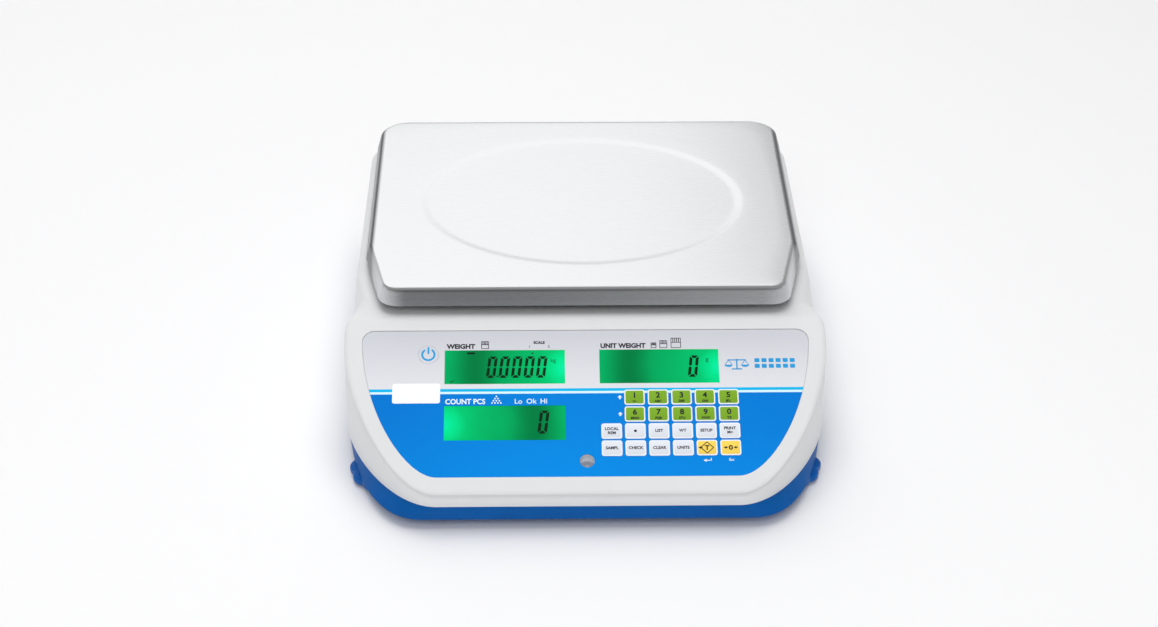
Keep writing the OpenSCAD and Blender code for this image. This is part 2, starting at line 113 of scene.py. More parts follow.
def make_camera():
    yaw, pitch, roll = (math.radians(a) for a in CAMERA_ANGLES)
    level = math.cos(pitch)
    ahead = Vector((math.sin(yaw) * level, math.cos(yaw) * level, -math.sin(pitch)))
    right = Vector((math.cos(yaw), -math.sin(yaw), 0))
    down = ahead.cross(right)
    side = right * math.cos(roll) + down * math.sin(roll)
    drop = down * math.cos(roll) - right * math.sin(roll)
    data = bpy.data.cameras.new("camera")
    data.sensor_width = SENSOR_WIDTH
    data.lens = CAMERA_LENS
    data.clip_end = 50
    obj = bpy.data.objects.new("camera", data)
    turn = Matrix((side, -drop, -ahead)).transposed()
    obj.matrix_world = Matrix.Translation(CAMERA_PLACE) @ turn.to_4x4()
    bpy.context.scene.collection.objects.link(obj)
    bpy.context.scene.camera = obj


make_camera()

# ---- outlines seen from above ----

OUTLINE_STEPS = 60
PAN_CORNER_STEPS = 10


def bez(a, b, c, d, n):
    """Points along a cubic curve."""
    t = np.linspace(0, 1, n + 1)[:, None]
    u = 1 - t
    a, b, c, d = (np.array(p, float) for p in (a, b, c, d))
    return u**3 * a + 3 * u * u * t * b + 3 * u * t * t * c + t**3 * d


def arc(c, r, a0, a1, n):
    """Points round c from angle a0 to a1, in degrees."""
    a = np.radians(np.linspace(a0, a1, n + 1))
    return np.array(c) + r * np.stack([np.cos(a), np.sin(a)], 1)


def both_sides(half):
    """Closed outline from its right half and the mirror image of that."""
    return np.concatenate([half, half[::-1] * [-1, 1]])


def cover_half(d=0.0, n=OUTLINE_STEPS):
    """Right half of the cover's outline from front to back, drawn in by d."""
    side, rear_side = HALF_W - d, HALF_W - 3.5 - d
    return np.concatenate([
        bez((96, FRONT + d), (127 - d / 2, FRONT + d), (side, -114 + d / 2), (side, -84), n),
        bez((side, -80), (side, -66), (rear_side, -62), (rear_side, -46), n // 2),
        arc((HALF_W - 25, BACK - 20), 20 - d, 0, 90, n // 3),
    ])


def base_half():
    n = OUTLINE_STEPS
    front = FRONT + 1.7
    return np.concatenate([
        bez((106, front), (144, front), (HALF_W - 2, -100), (HALF_W - 1.2, -82), n),
        bez((HALF_W - 1.2, -78), (HALF_W - 1.2, -68), (HALF_W - 5, -60), (HALF_W - 6, -46), n // 2),
        arc((HALF_W - 26, BACK - 21), 20, 0, 90, n // 3),
    ])


def pan_half(w, d):
    n = PAN_CORNER_STEPS
    return np.concatenate([
        arc((w / 2 - 24.4, -49.8), 14 - d, -90, -12, n),
        arc((w / 2 - 8, -2), 8 - d, -12, 0, 4),
        arc((w / 2 - 22, 152.5), 22 - d, 0, 90, n),
    ])


def overlay_half(d):
    return np.concatenate([
        bez((96, OVERLAY_S0 + d), (115, OVERLAY_S0 + d), (142.9 - d, 54.6), (145.5 - d, 106), 28),
        arc((137.5, 107.5), 8 - d, 0, 90, 8),
    ])


def rounded(x, y, w, h, r, n=6):
    corners = [(1, -1, -90), (1, 1, 0), (-1, 1, 90), (-1, -1, 180)]
    return np.concatenate([
        arc((x + i * (w / 2 - r), y + j * (h / 2 - r)), r, a, a + 90, n) for i, j, a in corners
    ])


def disc(x, y, r, n=48):
    return arc((x, y), r, 0, 360 * (n - 1) / n, n - 1)


def normals(points):
    """Unit normals of a closed outline that runs anticlockwise, pointing outwards."""
    ahead = np.roll(points, -1, 0) - points
    ahead /= np.maximum(np.linalg.norm(ahead, axis=1), 1e-9)[:, None]
    mean = ahead + np.roll(ahead, 1, 0)
    mean /= np.maximum(np.linalg.norm(mean, axis=1), 1e-9)[:, None]
    return np.stack([mean[:, 1], -mean[:, 0]], 1)


# ---- meshes ----


class Shells:
    """Collects closed shells, in millimetres, for one mesh."""

    def __init__(self):
        self.verts, self.faces = [], []

    def add(self, verts, faces):
        start = len(self.verts)
        self.verts += [tuple(map(float, v)) for v in verts]
        self.faces += [tuple(start + i for i in f) for f in faces]

    def rings(self, rings, place=upright, closed=True):
        """Skin over rings of equal length, with an end cap on the first and the last."""
        n = len(rings[0])
        verts = [place(*p) for ring in rings for p in ring]
        faces = []
        for r in range(len(rings) - 1):
            a, b = r * n, (r + 1) * n
            faces += [(a + i, a + (i + 1) % n, b + (i + 1) % n, b + i) for i in range(n)]
        if closed:
            faces += [tuple(reversed(range(n))), tuple(range((len(rings) - 1) * n, len(rings) * n))]
        self.add(verts, faces)

    def prism(self, outline, lo, hi, place=upright):
        self.rings([[(*p, h) for p in outline] for h in (lo, hi)], place)

    def pillow(self, outline, lo, hi, soft, place=upright):
        """Prism whose upper edge is rounded over soft."""
        out = normals(np.array(outline))
        rings = [[(*p, lo) for p in outline]]
        for a in np.radians((0, 30, 60, 90)):
            inset, height = soft * (1 - math.cos(a)), hi - soft * (1 - math.sin(a))
            rings.append([(*p, height) for p in np.array(outline) - out * inset])
        self.rings(rings, place)

    def bar(self, a, b, width, lo, hi, place=upright):
        a, b = np.array(a, float), np.array(b, float)
        along = (b - a) / np.linalg.norm(b - a)
        side = np.array([-along[1], along[0]]) * width / 2
        self.prism([a - side, b - side, b + side, a + side], lo, hi, place)

    def tube(self, x, y, r_out, r_in, lo, hi):
        """Upright tube with a small chamfer at both outer edges."""
        c = 0.3
        profile = [
            (r_in, lo), (r_out - c, lo), (r_out, lo + c),
            (r_out, hi - c), (r_out - c, hi), (r_in, hi),
        ]
        rings = [[(*p, z) for p in disc(x, y, r)] for r, z in profile]
        rings.append(rings[0])
        self.rings(rings, closed=False)

    def text(self, string, x, s, cap, n, bold=0.0, align="LEFT", wide=1.0):
        """Lettering on the console whose capitals are cap high, standing on (x, s)."""
        size = cap / 0.7
        curve = bpy.data.curves.new("lettering", "FONT")
        curve.body = string
        curve.align_x = align
        curve.offset = bold
        curve.resolution_u = 3
        curve.extrude = FILM_T / 2 / size
        obj = bpy.data.objects.new("lettering", curve)
        bpy.context.scene.collection.objects.link(obj)
        graph = bpy.context.evaluated_depsgraph_get()
        mesh = bpy.data.meshes.new_from_object(obj.evaluated_get(graph))
        verts = [
            console(x + v.co.x * size * wide, s + v.co.y * size, n + FILM_T / 2 + v.co.z * size)
            for v in mesh.vertices
        ]
        self.add(verts, [tuple(p.vertices) for p in mesh.polygons])
        bpy.data.objects.remove(obj)
        bpy.data.curves.remove(curve)
        bpy.data.meshes.remove(mesh)

    def mesh(self, name):
        mesh = bpy.data.meshes.new(name)
        mesh.from_pydata([tuple(c * MM for c in v) for v in self.verts], [], self.faces)
        bm = bmesh.new()
        bm.from_mesh(mesh)
        bmesh.ops.remove_doubles(bm, verts=bm.verts, dist=2e-6)
        bmesh.ops.recalc_face_normals(bm, faces=bm.faces)
        bm.to_mesh(mesh)
        bm.free()
        return mesh


def new_object(name, shells):
    obj = bpy.data.objects.new(name, shells.mesh(name))
    bpy.context.scene.collection.objects.link(obj)
    return obj


def carve(obj, shells):
    """Cuts the shells out of obj."""
    cutter = new_object("cutter", shells)
    cut = obj.modifiers.new("cut", "BOOLEAN")
    cut.operation = "DIFFERENCE"
    cut.solver = "EXACT"
    cut.object = cutter
    graph = bpy.context.evaluated_depsgraph_get()
    mesh = bpy.data.meshes.new_from_object(obj.evaluated_get(graph))
    obj.modifiers.clear()
    obj.data = mesh
    bpy.data.objects.remove(cutter)


SHARP_ANGLE = 32  # degrees from which an edge counts as sharp
BEVEL_SEGMENTS = 2


def put(obj, body, material, replaces=(), angle=SHARP_ANGLE):
    """Shades obj, gives it its material, and lets it ride on a body."""
    obj.data.shade_smooth()
    obj.data.set_sharp_from_angle(angle=math.radians(angle))
    obj.data.materials.clear()
    obj.data.materials.append(material)
    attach(obj, body)
    if replaces:
        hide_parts(*replaces)
    return obj


def add_bevel(obj, width):
    bevel = obj.modifiers.new("bevel", "BEVEL")
    bevel.width = width * MM
    bevel.segments = BEVEL_SEGMENTS
    bevel.limit_method = "ANGLE"
    bevel.angle_limit = math.radians(SHARP_ANGLE)
    bevel.use_clamp_overlap = True
    bevel.harden_normals = True


def dress(node, material, soft):
    """Gives a carried-over CAD node its material and softly broken edges."""
    obj = NODES[node]
    obj.data.materials.clear()
    obj.data.materials.append(material)
    if soft:
        weld = obj.modifiers.new("weld", "WELD")
        weld.merge_threshold = 1e-6
        add_bevel(obj, soft)


# ---- materials ----


def linear(rgb):
    """Linear colour with alpha from 0..255 display values."""
    scaled = [c / 255 for c in rgb]
    return [c / 12.92 if c <= 0.04045 else ((c + 0.055) / 1.055) ** 2.4 for c in scaled] + [1]


def shade(colour, factor):
    """Linear colour made darker or lighter."""
    return [min(1, c * factor) for c in colour[:3]] + [1]


class Paint:
    """A node material that is built up a step at a time."""

    def __init__(self, name):
        self.material = bpy.data.materials.new(name)
        self.material.use_nodes = True
        self.tree = self.material.node_tree
        self.shader = self.tree.nodes["Principled BSDF"]
        self.coords = self.add("ShaderNodeTexCoord").outputs["Object"]

    def add(self, kind, inputs=(), **settings):
        node = self.tree.nodes.new(kind)
        for key, value in settings.items():
            setattr(node, key, value)
        for key, value in dict(inputs).items():
            self.feed(node.inputs[key], value)
        return node

    def feed(self, socket, value):
        if isinstance(value, bpy.types.NodeSocket):
            self.tree.links.new(value, socket)
        else:
            socket.default_value = value

    def set(self, key, value):
        self.feed(self.shader.inputs[key], value)

    def stretched(self, scale):
        return self.add("ShaderNodeMapping", {"Vector": self.coords, "Scale": scale}).outputs[0]

    def noise(self, scale, detail=2.0, coords=None, rough=0.5):
        node = self.add(
            "ShaderNodeTexNoise",
            {"Vector": coords or self.coords, "Scale": scale, "Detail": detail, "Roughness": rough},
        )
        return node.outputs["Fac"]

    def spread(self, value, lo, hi, from_lo=0.3, from_hi=0.7):
        """Maps value from from_lo..from_hi to lo..hi."""
        numbers = {
            "Value": value, "From Min": from_lo, "From Max": from_hi, "To Min": lo, "To Max": hi,
        }
        return self.add("ShaderNodeMapRange", numbers).outputs["Result"]

    def mix(self, factor, a, b):
        node = self.add("ShaderNodeMix", data_type="RGBA")
        self.feed(node.inputs[0], factor)
        self.feed(node.inputs[6], a)
        self.feed(node.inputs[7], b)
        return node.outputs[2]

    def ramp(self, factor, stops, hard=False):
        node = self.add("ShaderNodeValToRGB", {"Fac": factor})
        node.color_ramp.interpolation = "CONSTANT" if hard else "CARDINAL"
        elements = node.color_ramp.elements
        while len(elements) < len(stops):
            elements.new(0.5)
        for element, (place, colour) in zip(elements, stops):
            element.position = place
            element.color = linear(colour)
        return node.outputs["Color"]

    def bump(self, height, depth_mm):
        node = self.add(
            "ShaderNodeBump", {"Height": height, "Distance": depth_mm * MM, "Strength": 1.0}
        )
        self.set("Normal", node.outputs["Normal"])

    def along(self, direction, lo, hi):
        """Place along a direction in millimetres, from 0 at lo to 1 at hi."""
        dot = self.add("ShaderNodeVectorMath", operation="DOT_PRODUCT")
        self.feed(dot.inputs[0], self.coords)
        dot.inputs[1].default_value = direction
        return self.spread(dot.outputs["Value"], 0, 1, lo * MM, hi * MM)

    def distance(self, point, reach):
        """Distance from a point in millimetres, from 0 there to 1 at reach."""
        node = self.add("ShaderNodeVectorMath", operation="DISTANCE")
        self.feed(node.inputs[0], self.coords)
        node.inputs[1].default_value = [c * MM for c in point]
        return self.spread(node.outputs["Value"], 0, 1, 0, reach * MM)


CLOUDING = 0.12  # share of duller patches on metal and on the displays


def moulded(
    name, rgb, rough=0.45, grain=0.02, fine=1600, spread=0.03,
    metal=0.0, coat=0.0, gloss=0.5,
):
    """Plastic, rubber, paint or cast metal: mottled colour, uneven gloss, fine grain."""
    paint = Paint(name)
    cloud = paint.noise(45, 3)
    grains = paint.noise(fine, 3, rough=0.6)
    colour = linear(rgb)
    shades = [shade(colour, k) for k in (1 - spread, 1 + spread)]
    tone = paint.mix(paint.spread(cloud, 0, 1), *shades)
    deep = shade(colour, 1 - 2 * spread)
    paint.set("Base Color", paint.mix(paint.spread(grains, 0.5, 0), tone, deep))
    paint.set("Roughness", paint.spread(grains, rough - 0.06, rough + 0.06))
    paint.set("Metallic", metal)
    paint.set("Specular IOR Level", gloss)
    paint.set("Coat Weight", coat)
    paint.set("Coat Roughness", 0.12)
    paint.bump(grains, grain)
    return paint.material


def brushed(name, rgb, rough, streaks, depth=0.004, spread=0.06, aniso=0.4):
    """Metal with fine streaks; streaks is the noise scale along X, Y and Z."""
    paint = Paint(name)
    line = paint.noise(1, 4, paint.stretched(streaks), rough=0.65)
    cloud = paint.noise(14, 2)
    colour = linear(rgb)
    shades = [shade(colour, k) for k in (1 - spread, 1 + spread)]
    tone = paint.mix(paint.spread(line, 0, 1), *shades)
    dull = shade(colour, 0.8)
    paint.set("Base Color", paint.mix(paint.spread(cloud, CLOUDING, 0), tone, dull))
    paint.set("Metallic", 1.0)
    paint.set("Roughness", paint.spread(line, rough - 0.05, rough + 0.07))
    paint.set("Anisotropic", aniso)
    paint.bump(line, depth)
    return paint.material


# Painted reflections of the pan's skirt from left to right, and of its darker edges.
SKIRT_PAINTED_REFLECTIONS = [
    (0, (120, 122, 124)), (0.035, (196, 198, 200)), (0.06, (190, 192, 194)),
    (0.1, (124, 126, 128)), (0.9, (158, 160, 162)), (0.95, (192, 194, 196)),
    (0.97, (192, 194, 196)), (1, (120, 122, 124)),
]
PAN_TONE, PAN_EDGE_PAINTED_SHADE, PAN_LINE_TONE = (228, 229, 230), (96, 98, 100), (130, 131, 133)


def pan_sheet():
    """Fine satin steel of the pan, with painted reflections that make the turned-down skirt darker
    and painted dark reflections along its side and back edges.
    """
    paint = Paint("pan_steel")
    line = paint.noise(1, 4, paint.stretched((30, 3200, 3200)), rough=0.6)
    lo, hi = box_mm("weighing_pan")
    across = paint.along((1, 0, 0), lo[0], hi[0])
    skirt = paint.ramp(across, SKIRT_PAINTED_REFLECTIONS)
    # painted reflection: below the top the colour turns to the painted skirt tones
    height = paint.along((0, 0, 1), hi[2] - 1.8, hi[2] - 0.65)
    tone = paint.mix(height, skirt, linear(PAN_TONE))
    rearward = paint.along((0, 1, 0), lo[1], hi[1])
    # painted dark reflections along the left, right and back edges
    edges = ((across, 0.022, 0.014), (across, 0.978, 0.986), (rearward, 0.975, 0.98))
    for place, inner, outer in edges:
        tone = paint.mix(paint.spread(place, 0, 1, inner, outer), tone, linear(PAN_EDGE_PAINTED_SHADE))
    paint.set("Base Color", paint.mix(paint.spread(line, 0.022, 0), tone, linear(PAN_LINE_TONE)))
    paint.set("Metallic", 1.0)
    paint.set("Roughness", paint.spread(line, 0.25, 0.31))
    paint.bump(line, 0.0004)
    return paint.material


def printed(name, rgb, rough=0.3, spread=0.03):
    return moulded(name, rgb, rough, grain=0.004, fine=900, spread=spread, gloss=0.2)


def overlay_film():
    """Silver above, two narrow bands and blue below, with the film's fine matt grain. Painted shade
    darkens the silver and the blue upwards, and the blue towards its left and right ends.
    """
    paint = Paint("overlay_film")
    slope = (0, COS, SIN)
    start = FOLD_Y * COS + FOLD_Z * SIN
    height = paint.along(slope, start, start + 120)
    across = paint.along((1, 0, 0), -140, 140)
    # painted shade: the blue darkens towards its ends and upwards, the silver upwards
    blue = paint.ramp(across, [(0, (0, 112, 202)), (0.4, (0, 135, 224)), (1, (0, 120, 212))])
    low = paint.ramp(height, [(0, (0, 146, 238)), (0.3, (0, 135, 226)), (0.58, (0, 124, 218))])
    blue_painted_shade = paint.mix(0.5, blue, low)
    silver_painted_shade = paint.ramp(height, [(0.6, (226, 227, 233)), (1, (204, 206, 213))])
    bands = paint.ramp(height, [(0, (220, 246, 255)), (71 / 120, (14, 186, 240))], hard=True)
    above = paint.spread(height, 0, 1, 73.25 / 120, 73.3 / 120)
    below = paint.spread(height, 0, 1, 69.6 / 120, 69.65 / 120)
    colour = paint.mix(below, blue_painted_shade, paint.mix(above, bands, silver_painted_shade))
    fine = paint.noise(1800, 3)
    speck = paint.mix(paint.spread(fine, 0, 0.004), colour, [1, 1, 1, 1])
    paint.set("Base Color", speck)
    paint.set("Roughness", paint.spread(fine, 0.34, 0.44))
    paint.set("Specular IOR Level", 0.05)
    paint.bump(fine, 0.006)
    return paint.material


GLOW_STRENGTH = 0.9


def lit_display(name, glow):
    """Green backlight that is brightest at one end and fades away from it."""
    paint = Paint(name)
    far = paint.distance(glow, 90)
    green = paint.ramp(far, [
        (0, (20, 255, 190)), (0.06, (0, 252, 164)), (0.17, (0, 212, 122)),
        (0.5, (0, 172, 94)), (0.68, (0, 128, 66)), (0.88, (0, 186, 104)),
    ])
    cloud = paint.noise(60, 2)
    colour = paint.mix(paint.spread(cloud, 0, CLOUDING), green, linear((0, 110, 60)))
    paint.set("Base Color", linear((0, 40, 22)))
    paint.set("Emission Color", colour)
    paint.set("Emission Strength", GLOW_STRENGTH)
    paint.set("Roughness", paint.spread(paint.noise(700), 0.1, 0.2))
    paint.set("Specular IOR Level", 0.1)
    return paint.material


def shaded_key(name, rgb, node):
    """Printed key face, lighter towards its upper edge."""
    paint = Paint(name)
    _, s, _ = on_console(middle(node))
    start = FOLD_Y * COS + FOLD_Z * SIN + s
    rise = paint.along((0, COS, SIN), start - 5, start + 5)
    colour = linear(rgb)
    shades = [shade(colour, k) for k in (0.93, 1.07)]
    fine = paint.noise(1500, 2)
    tone = paint.mix(rise, *shades)
    paint.set("Base Color", paint.mix(paint.spread(fine, 0, 0.008), tone, [1, 1, 1, 1]))
    paint.set("Roughness", paint.spread(fine, 0.32, 0.42))
    paint.set("Specular IOR Level", 0.2)
    paint.bump(fine, 0.004)
    return paint.material


WHITE = moulded("cover_white", (225, 226, 227), rough=0.42, grain=0.012, fine=2200, spread=0.012)
BLUE = moulded("base_blue", (0, 89, 166), rough=0.45, grain=0.02, fine=1500, spread=0.06, gloss=0.1)
WHEEL = moulded(
    "wheel_blue", (0, 90, 172), rough=0.35, grain=0.012, fine=1200, spread=0.08, gloss=0.15,
)
RUBBER = moulded("pad_rubber", (38, 38, 40), rough=0.75, grain=0.03, fine=1100, spread=0.12)
STEEL = pan_sheet()
ZINC = brushed("zinc_steel", (176, 178, 184), 0.35, (300, 300, 2500))
BLACK_STEEL = brushed("black_steel", (46, 46, 48), 0.4, (300, 300, 2000), spread=0.15)
CAST = moulded(
    "support_cast", (165, 167, 170), rough=0.5, grain=0.06, fine=700, spread=0.08, metal=0.85,
)
ALLOY = brushed("beam_aluminium", (198, 200, 203), 0.33, (60, 2400, 2400))
BOARD = moulded(
    "circuit_board", (14, 92, 48), rough=0.3, grain=0.03, fine=420, spread=0.2, coat=0.4,
)
CASE = moulded("battery_case", (50, 54, 58), rough=0.5, grain=0.03, fine=1400, spread=0.1)
LEAD = moulded("lead_insulation", (176, 30, 30), rough=0.4, grain=0.02, fine=900, spread=0.1)
RIBBON = brushed("ribbon_insulation", (176, 178, 182), 0.45, (790, 20, 20), depth=0.25, aniso=0.0)
FILM = moulded("membrane", (214, 206, 160), rough=0.3, grain=0.01, fine=900, spread=0.05)
LIGHT_PLATE = moulded("light_plate", (120, 240, 160), rough=0.2, grain=0.01, fine=500, spread=0.05)
CUP = moulded("level_cup", (247, 248, 250), rough=0.45, grain=0.015, fine=1500)
SOCKET = moulded("socket_black", (28, 28, 30), rough=0.4, grain=0.02, fine=1500, spread=0.15)
SHELL = brushed("socket_metal", (150, 151, 154), 0.22, (900, 900, 200), aniso=0.1)
KEY_RIM = printed("key_rim", (243, 246, 252), 0.35, 0.01)
DARK_INK = printed("dark_ink", (38, 36, 44), 0.45, 0.08)
WHITE_INK = printed("white_ink", (240, 250, 255), 0.4, 0.02)
BLUE_INK = printed("blue_ink", (38, 158, 222), 0.35, 0.05)
SEGMENT = printed("display_segment", (0, 44, 18), 0.3, 0.2)
LABEL = printed("blank_label", (252, 253, 253), 0.4, 0.01)

# ---- cover ----

SCOOP_A = ((154.5, -3.0), (143.5, -43.0))
SCOOP_B = ((143.5, -43.0), (151.5, -61.0))


def smooth_min(a, b, k):
    h = np.clip(0.5 + 0.5 * (b - a) / k, 0, 1)
    return b + (a - b) * h - k * h * (1 - h)


def smooth_step(v, lo, hi):
    t = np.clip((v - lo) / (hi - lo), 0, 1)
    return t * t * (3 - 2 * t)


def slope_from(crease, x, y):
    """Height over the deck of a 45 degree plane that falls outwards from a crease."""
    (x0, y0), (x1, y1) = crease
    length = math.hypot(x1 - x0, y1 - y0)
    nx, ny = -(y1 - y0) / length, (x1 - x0) / length
    return -((x - x0) * nx + (y - y0) * ny)


def cover_top(x, y, deck_drop=0.0, panel_drop=0.0, scoop_drop=0.0):
    x = np.abs(x)
    deck = np.full_like(x, DECK - deck_drop)
    panel = FOLD_Z + (y - FOLD_Y) * math.tan(TILT) - panel_drop
    scoop = -smooth_min(-slope_from(SCOOP_A, x, y), -slope_from(SCOOP_B, x, y), 1.2)
    top = smooth_min(deck, panel, 1.2)
    return smooth_min(top, DECK + scoop - scoop_drop, 1.2)


def distance_to(outline, x, y):
    """Distance from points to an open outline."""
    points = np.stack([np.abs(x).ravel(), y.ravel()], 1)
    best = np.full(len(points), 1e9)
    for a, b in zip(outline[:-1], outline[1:]):
        ab = b - a
        t = np.clip((points - a) @ ab / max(ab @ ab, 1e-9), 0, 1)
        best = np.minimum(best, np.linalg.norm(points - a - t[:, None] * ab, axis=1))
    return best.reshape(x.shape)


EDGE = np.array([0, 0.06, 0.25, 0.6, 1.1, 1.8, 2.6, 3.5, 4.6, 6, 7.5, 9, 10.5, 12, 14, 17, 21, 26])


def cover_rows():
    """Places of the rows from front to back, close together where the surface bends."""
    parts = [
        FRONT + EDGE[:-1],
        np.arange(FRONT + 25, -75, 4.0),
        np.arange(-74, -63, 0.8),
        np.arange(-62.5, 1, 1.5),
        np.arange(7, BACK - 27, 8.0),
        BACK - EDGE[::-1],
    ]
    return np.unique(np.concatenate(parts))


def cover_grid(inset):
    """Grid of points that ends on the outline: x and y for each row and column."""
    rows = cover_rows() * (BACK - inset) / BACK
    half = cover_half(inset, 240)
    width = np.interp(rows, half[:, 1], half[:, 0])
    middle_part = np.linspace(1, 0, 5)[1:]
    right = np.concatenate([
        width[:, None] - EDGE[None, :],
        (width[:, None] - EDGE[-1]) * middle_part[None, :],
    ], 1)
    x = np.concatenate([-right, right[:, -2::-1]], 1)
    return x, np.repeat(rows[:, None], x.shape[1], 1)


def border(shape):
    """Indices round the border of a grid, anticlockwise from the front left."""
    rows, cols = shape
    front = list(range(cols))
    right = [r * cols + cols - 1 for r in range(1, rows)]
    back = [(rows - 1) * cols + c for c in range(cols - 2, -1, -1)]
    left = [r * cols for r in range(rows - 2, 0, -1)]
    return front + right + back + left


def grid_faces(shape, flip=False):
    rows, cols = shape
    faces = []
    for r in range(rows - 1):
        for c in range(cols - 1):
            i = r * cols + c
            quad = (i, i + 1, i + cols + 1, i + cols)
            faces.append(quad[::-1] if flip else quad)
    return faces


def edge_radius(y):
    """Radius of the cover's upper edge, which grows from the front lip backwards."""
    return 1.3 + 2.0 * smooth_step(y, -140, -88) + 5.2 * smooth_step(y, -66, -30)


INNER_DROPS = (WALL, PANEL_T / COS, WALL * math.sqrt(2))
RIM_GROOVE = ((0.25, 0.1), (1.0, 0.35), (1.5, 0.8), (1.4, 1.3), (0.6, 2.2), (0.3, 3.0))
LOWER_EDGE = ((0.18, 0.18), (0.6, 0.0), (WALL - 0.2, 0.0))
SOCKETS = ("dc_inlet", "serial_port")
SOCKET_GAP = 0.5
POCKET_FLOOR, CUT_TOP = -2.15, -0.5
BEAM_X, BEAM_Y = 48, 55  # distance of the load cell's ends from the middle, and its place


def cover_levels(rim):
    """Rings of the cover's side wall, from the groove under the rim to the parting line."""
    out = normals(rim[:, :2])
    lip = (1 - smooth_step(rim[:, 1], -80, -60))[:, None]
    levels = []
    for inset, drop in RIM_GROOVE:
        ring = rim.copy()
        ring[:, :2] -= out * inset * lip
        ring[:, 2] -= drop
        levels.append(ring)
    for share in (0.4, 0.7, 1.0):
        ring = rim.copy()
        ring[:, 2] += (PART_Z + 0.6 - ring[:, 2]) * share
        levels.append(ring)
    for inset, lift in LOWER_EDGE:
        ring = rim.copy()
        ring[:, :2] -= out * inset
        ring[:, 2] = PART_Z + lift
        levels.append(ring)
    return levels


def cover_skin():
    """Closed skin of the cover: top, side wall and inside."""
    x, y = cover_grid(0.0)
    outline = np.concatenate([[(0, FRONT)], cover_half(), [(0, BACK)]])
    r = edge_radius(y)
    lean = np.clip(r - distance_to(outline, x, y), 0, r)
    z = cover_top(x, y) - (r - np.sqrt(r * r - lean * lean))
    outer = np.stack([x.ravel(), y.ravel(), z.ravel()], 1)

    xi, yi = cover_grid(WALL)
    zi = cover_top(xi, yi, *INNER_DROPS)
    inner = np.stack([xi.ravel(), yi.ravel(), zi.ravel()], 1)

    loop = border(x.shape)
    levels = cover_levels(outer[loop])
    n = len(loop)
    start_inner = len(outer) + len(levels) * n
    chains = [loop]
    chains += [[len(outer) + k * n + i for i in range(n)] for k in range(len(levels))]
    chains.append([start_inner + i for i in loop])
    faces = grid_faces(x.shape)
    faces += [tuple(start_inner + i for i in f) for f in grid_faces(x.shape, True)]
    for a, b in zip(chains, chains[1:]):
        faces += [(a[i], b[i], b[(i + 1) % n], a[(i + 1) % n]) for i in range(n)]
    skin = Shells()
    skin.add(np.concatenate([outer, *levels, inner]), faces)
    return skin


def cut_windows(cover):
    """Recess for the printed overlay, and openings for the displays."""
    recess = Shells()
    recess.prism(both_sides(overlay_half(-0.25)) + [0, 0.22], OVERLAY_N0, 6, console)
    carve(cover, recess)
    holes = Shells()
    for node in LCDS:
        holes.prism(pane(window(node, 3.2), 0, 0.8), -12, CUT_TOP, console)
    carve(cover, holes)


def rear_wall(x, z, y):
    return (x, y, z)


def cut_openings(cover):
    """Pockets under the keys, and openings for the level, the load cell and the sockets."""
    holes = Shells()
    keys_hi = box_mm("key_domes")[1]
    pad_x0 = box_mm("key_sample")[0][0] - 2.4
    _, pad_s0, _ = on_console(middle("key_sample"))
    pad_w = keys_hi[0] - pad_x0 + 0.4
    pocket = rounded((pad_x0 + keys_hi[0]) / 2, pad_s0 + 18.5, pad_w, 52, 1)
    holes.prism(pocket, POCKET_FLOOR, CUT_TOP, console)
    px, ps, _ = on_console(middle("key_power"))
    holes.prism(rounded(px, ps, 16, 16, 1), POCKET_FLOOR, CUT_TOP, console)
    holes.prism(disc(*LEVEL, 5.1), FOLD_Z - 5, FOLD_Z + 12)
    holes.prism(disc(BEAM_X, BEAM_Y, 26), DECK - 8, DECK + 8)
    for node in SOCKETS:
        lo, hi = box_mm(node)
        width, height = hi[0] - lo[0] + 2 * SOCKET_GAP, hi[2] - PART_Z + SOCKET_GAP
        middle_z = PART_Z + height / 2 - 1
        opening = rounded(middle(node)[0], middle_z, width, height + 2, 0.8)
        holes.prism(opening, BACK - 8, BACK + 3, rear_wall)
    carve(cover, holes)


def make_cover():
    cover = new_object("cover", cover_skin())
    cut_windows(cover)
    cut_openings(cover)
    put(cover, "housing", WHITE, ["top_cover"], angle=38)


def make_cover_posts():
    """Screw posts inside the cover, down to the base."""
    posts = Shells()
    for x, y in CASE_SCREWS:
        ceiling = cover_top(np.array([x]), np.array([y]), *INNER_DROPS)[0]
        posts.tube(x, y, 4.5, 1.55, 15.05, float(ceiling) + 0.5)
    put(new_object("cover_posts", posts), "housing", WHITE)


# ---- console furniture ----

LCDS = ["lcd_weight", "lcd_unit_weight", "lcd_count"]
LCD_MARGIN = 3.0
LCD_T = 2.8


def window(node, grow=0.0):
    """Left, right, lower and upper edge of a display's window on the console."""
    lo, hi = box_mm(node)
    _, s, _ = on_console((lo + hi) / 2)
    tall = ((hi[1] - lo[1]) - LCD_T * SIN) / COS
    cut = LCD_MARGIN - grow
    return lo[0] + cut, hi[0] - cut, s - tall / 2 + cut, s + tall / 2 - cut


CASE_SCREWS = [(side * x, y) for x, y in ((88, -160), (143, -30), (142, 100)) for side in (-1, 1)]
level_middle = middle("level_vial")
LEVEL = (level_middle[0], level_middle[1])


def pane(edges, grow, r):
    """Rounded outline round a window, wider and taller than it by grow."""
    x0, x1, s0, s1 = edges
    return rounded((x0 + x1) / 2, (s0 + s1) / 2, x1 - x0 + grow, s1 - s0 + grow, r)


